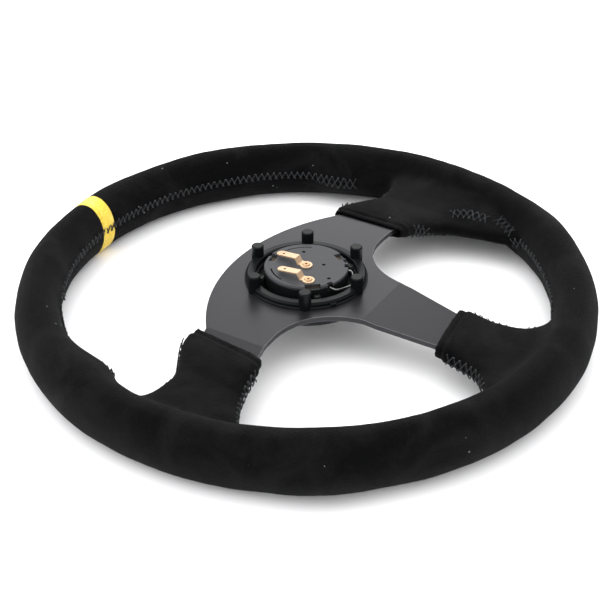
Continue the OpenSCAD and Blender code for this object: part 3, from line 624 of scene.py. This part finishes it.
# ---- Stitches ----
def stitch_tree():
    """Cross stitches on points: each point carries its turn, and gets two arched bars of thread."""
    tree = bpy.data.node_groups.new("cross stitches", "GeometryNodeTree")
    face = tree.interface
    face.new_socket("Geometry", in_out="INPUT", socket_type="NodeSocketGeometry")
    for label, value in (("Stitch Length", 0.004), ("Stitch Height", 0.0078), ("Thread Radius", 0.0004),
                         ("Arch", 0.0005), ("Looseness", 0.12)):
        face.new_socket(label, in_out="INPUT", socket_type="NodeSocketFloat").default_value = value
    face.new_socket("Seed", in_out="INPUT", socket_type="NodeSocketInt").default_value = 4
    face.new_socket("Thread", in_out="INPUT", socket_type="NodeSocketMaterial")
    face.new_socket("Geometry", in_out="OUTPUT", socket_type="NodeSocketGeometry")
    n = tree.nodes
    gin, gout = n.new("NodeGroupInput"), n.new("NodeGroupOutput")

    def calc(operation, a, b):
        return math_node(tree, operation, a, b)

    half_l = calc("MULTIPLY", gin.outputs["Stitch Length"], 0.5)
    half_h = calc("MULTIPLY", gin.outputs["Stitch Height"], 0.5)
    bars = n.new("GeometryNodeJoinGeometry")
    for side in (-1, 1):
        arc = n.new("GeometryNodeCurveQuadraticBezier")
        arc.inputs["Resolution"].default_value = 5
        ends = []
        for sign, z in ((-1, 0.0), (1, 0.0)):
            at = n.new("ShaderNodeCombineXYZ")
            link(tree, calc("MULTIPLY", half_l, sign), at.inputs[0])
            link(tree, calc("MULTIPLY", half_h, sign * side), at.inputs[1])
            ends.append(at)
        top = n.new("ShaderNodeCombineXYZ")
        link(tree, calc("MULTIPLY", gin.outputs["Arch"], 2.0 if side > 0 else 3.2), top.inputs[2])
        link(tree, ends[0].outputs[0], arc.inputs["Start"])
        link(tree, top.outputs[0], arc.inputs["Middle"])
        link(tree, ends[1].outputs[0], arc.inputs["End"])
        ring = n.new("GeometryNodeCurvePrimitiveCircle")
        ring.inputs["Resolution"].default_value = 6
        link(tree, gin.outputs["Thread Radius"], ring.inputs["Radius"])
        tube = n.new("GeometryNodeCurveToMesh")
        tube.inputs["Fill Caps"].default_value = True
        link(tree, arc.outputs["Curve"], tube.inputs["Curve"])
        link(tree, ring.outputs["Curve"], tube.inputs["Profile Curve"])
        link(tree, tube.outputs["Mesh"], bars.inputs["Geometry"])
    turn = n.new("GeometryNodeInputNamedAttribute")
    turn.data_type = "FLOAT_VECTOR"
    turn.inputs["Name"].default_value = "turn"
    rotation = n.new("FunctionNodeEulerToRotation")
    link(tree, turn.outputs[0], rotation.inputs[0])
    spin = n.new("FunctionNodeRandomValue")
    spin.data_type = "FLOAT"
    link(tree, calc("MULTIPLY", gin.outputs["Looseness"], -1.0), spin.inputs[2])
    link(tree, gin.outputs["Looseness"], spin.inputs[3])
    link(tree, gin.outputs["Seed"], spin.inputs["Seed"])
    axis = n.new("FunctionNodeAxisAngleToRotation")
    axis.inputs["Axis"].default_value = (0, 0, 1)
    link(tree, spin.outputs[1], axis.inputs["Angle"])
    turned = n.new("FunctionNodeRotateRotation")
    turned.rotation_space = "LOCAL"
    link(tree, rotation.outputs[0], turned.inputs[0])
    link(tree, axis.outputs[0], turned.inputs[1])
    size = n.new("FunctionNodeRandomValue")
    size.data_type = "FLOAT"
    link(tree, calc("SUBTRACT", 1.0, gin.outputs["Looseness"]), size.inputs[2])
    link(tree, calc("ADD", gin.outputs["Looseness"], 1.0), size.inputs[3])
    link(tree, calc("ADD", gin.outputs["Seed"], 7.0), size.inputs["Seed"])
    put = n.new("GeometryNodeInstanceOnPoints")
    link(tree, gin.outputs["Geometry"], put.inputs["Points"])
    link(tree, bars.outputs["Geometry"], put.inputs["Instance"])
    link(tree, turned.outputs[0], put.inputs["Rotation"])
    link(tree, size.outputs[1], put.inputs["Scale"])
    real = n.new("GeometryNodeRealizeInstances")
    paint = n.new("GeometryNodeSetMaterial")
    link(tree, put.outputs["Instances"], real.inputs["Geometry"])
    link(tree, real.outputs["Geometry"], paint.inputs["Geometry"])
    link(tree, gin.outputs["Thread"], paint.inputs["Material"])
    link(tree, paint.outputs["Geometry"], gout.inputs["Geometry"])
    return tree


def points_object(name, spots):
    """Vertices with a turn each. spots is a list of (place, along, normal) in millimetres."""
    mesh = bpy.data.meshes.new(name)
    mesh.from_pydata([tuple(p * MM) for p, _, _ in spots], [], [])
    turns = []
    for _, along, normal in spots:
        z = Vector(normal).normalized()
        x = (Vector(along) - z * Vector(along).dot(z)).normalized()
        y = z.cross(x)
        turns += list(Matrix((x, y, z)).transposed().to_euler())
    mesh.attributes.new("turn", "FLOAT_VECTOR", "POINT").data.foreach_set("vector", turns)
    obj = bpy.data.objects.new(name, mesh)
    bpy.context.scene.collection.objects.link(obj)
    return obj


def grow(obj, tree, **values):
    """Runs a geometry tree on an object and leaves a plain mesh."""
    mod = obj.modifiers.new(tree.name, "NODES")
    mod.node_group = tree
    sockets = {s.name: s.identifier for s in tree.interface.items_tree if s.in_out == "INPUT"}
    for label, value in values.items():
        mod[sockets[label.replace("_", " ")]] = value
    mesh = evaluated_mesh(obj)
    mesh.transform(obj.matrix_world)
    name = obj.name
    bpy.data.objects.remove(obj)
    made = bpy.data.objects.new(name, mesh)
    bpy.context.scene.collection.objects.link(made)
    return made


def seam_guides():
    """Lines along the sewn seams: the inside of the rim between boots, and on along the boots' sides."""
    guides = []
    ends = {"upper": (-73, 73), "left": (-161, -111), "right": (111, 161)}
    for low, high in ends.values():
        phi = np.linspace(low, high, 160)
        guides.append(grip(phi, np.full(160, 180.0)))
    for boot in BOOTS:
        for side in (1, -1):
            s = np.linspace(0.16, 0.86, 60)
            v, _ = boot_section(boot, s, np.full(60, 0.0 if side > 0 else 180.0))
            spoke = 180 if boot[0] == "boot_lower" else 90
            reach = inner_reach(v, RIM_LEVEL, float(spoke))
            d = (boot[3] + boot[4] * v) * (1 - s) + reach * s
            guides.append(place(boot, np.stack([d, v, spoke_level(boot, d)], 1)))
    return guides


def spots_along(guide, pitch, tree, lift, start=0.0):
    step = np.linalg.norm(np.diff(guide, axis=0), axis=1)
    run = np.concatenate([[0], np.cumsum(step)])
    spots = []
    for at in np.arange(start + pitch / 2, run[-1], pitch):
        p = np.array([np.interp(at, run, guide[:, k]) for k in range(3)])
        q = np.array([np.interp(min(at + 1, run[-1]), run, guide[:, k]) for k in range(3)])
        q0 = np.array([np.interp(max(at - 1, 0), run, guide[:, k]) for k in range(3)])
        hit, normal, _, _ = tree.find_nearest(Vector(p))
        spots.append((np.array(hit) + np.array(normal) * lift, q - q0, np.array(normal)))
    return spots


# ---- Building ----
pieces, skin_v, skin_q = sew_panels()
skin_tree = BVHTree.FromPolygons([Vector(p) for p in skin_v], skin_q.tolist())
for name, piece in pieces.items():
    piece.data.materials.append(BAND_SUEDE if name == "centre_band" else SUEDE)
    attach(piece, "wheel")
    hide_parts(name)

stitches = stitch_tree()
spots = []
for guide in seam_guides():
    spots += spots_along(guide, 4.3, skin_tree, 0.1)
thread = grow(points_object("seam_stitches", spots), stitches, Thread=THREAD)
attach(thread, "wheel")
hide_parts("seam_thread")

for boot in BOOTS:
    for side in (1, -1):
        pad = pad_slab(boot, side)
        pad.data.materials.append(FOAM)
        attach(pad, "wheel")
        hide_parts("spoke_pads")

FINISHES = {
    "spoke_plate": PLATE, "rim_core": CORE_STEEL, "core_rivets": ALUMINIUM, "rim_foam": FOAM,
    "cap_ring": PLASTIC, "front_bezel": PLASTIC, "horn_housing": HORN_PLASTIC, "housing_screws": DARK_SCREW,
    "horn_base": BACK_PLATE, "retaining_wire": STEEL, "terminal_feed": BRASS, "terminal_earth": BRASS,
    "terminal_rivets": RIVET_BRASS, "fixed_contact": SHADE_DARKENED_BRASS, "spring_cup": BRASS, "return_spring": STEEL,
    "horn_button": GLOSS, "contact_disc": SHADE_DARKENED_BRASS,
}
for name, mat in FINISHES.items():
    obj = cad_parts[name]
    for s in obj.material_slots:
        s.material = mat

# ---- Floor, light and camera ----
FLOOR_Z = -(RIM_DROP + HALF_H) * MM - 0.0004
floor = make_object("floor", [(-4000, -4000, FLOOR_Z / MM), (4000, -4000, FLOOR_Z / MM),
                              (4000, 4000, FLOOR_Z / MM), (-4000, 4000, FLOOR_Z / MM)], [(0, 1, 2, 3)], False)
paper = bpy.data.materials.new("white sweep")
paper.use_nodes = True
ptree = paper.node_tree
surface = ptree.nodes["Principled BSDF"]
at = node(ptree, "ShaderNodeTexCoord").outputs["Object"]
mottle = ramp(ptree, noise_node(ptree, at, 3.0, 3.0), 0.2, 0.8)
link(ptree, mix_color(ptree, mottle, (0.93, 0.93, 0.945, 1), (0.95, 0.95, 0.955, 1)),
     surface.inputs["Base Color"])
surface.inputs["Roughness"].default_value = 0.6
floor.data.materials.append(paper)

world = bpy.data.worlds.new("studio")
bpy.context.scene.world = world
world.use_nodes = True
wt = world.node_tree
back = wt.nodes["Background"]
path = node(wt, "ShaderNodeLightPath")
back.inputs["Color"].default_value = (1, 1, 1, 1)
# The floor's surround is white to the eye; on the object it is softer, and reflections of it are dimmer still
fill = math_node(wt, "MULTIPLY", math_node(wt, "SUBTRACT", 1.0, path.outputs["Is Glossy Ray"]), 1.35)
link(wt, math_node(wt, "MAXIMUM", path.outputs["Is Camera Ray"], math_node(wt, "ADD", fill, 0.3)),
     back.inputs["Strength"])


def area_light(name, place_at, aim, size, power):
    lamp = bpy.data.lights.new(name, "AREA")
    lamp.shape = "RECTANGLE"
    lamp.size, lamp.size_y = size
    lamp.energy = power
    obj = bpy.data.objects.new(name, lamp)
    obj.location = place_at
    obj.rotation_euler = (Vector(aim) - Vector(place_at)).to_track_quat("-Z", "Y").to_euler()
    bpy.context.scene.collection.objects.link(obj)


area_light("overhead softbox", (0.2, 0.3, 1.5), (0, 0, 0), (2.4, 2.4), 20)
area_light("side softbox", (-0.9, 1.0, 0.9), (0, 0, 0), (1.0, 0.8), 4)
area_light("low softbox", (1.5, 0.75, 0.75), (0, 0, 0), (1.0, 0.6), 6)

camera = bpy.data.objects.new("camera", bpy.data.cameras.new("camera"))
camera.data.sensor_width = 36
camera.data.lens = 78.64
camera.data.clip_start = 0.01
camera.location = (-0.5751, -0.3506, 0.4220)
look = Vector((-0.0122, -0.0030, -0.0093)) - camera.location
camera.rotation_euler = (look.to_track_quat("-Z", "Y").to_matrix()
                         @ Matrix.Rotation(math.radians(-0.207), 3, "Z")).to_euler()
bpy.context.scene.collection.objects.link(camera)
bpy.context.scene.camera = camera
bpy.context.scene.view_settings.view_transform = "Standard"
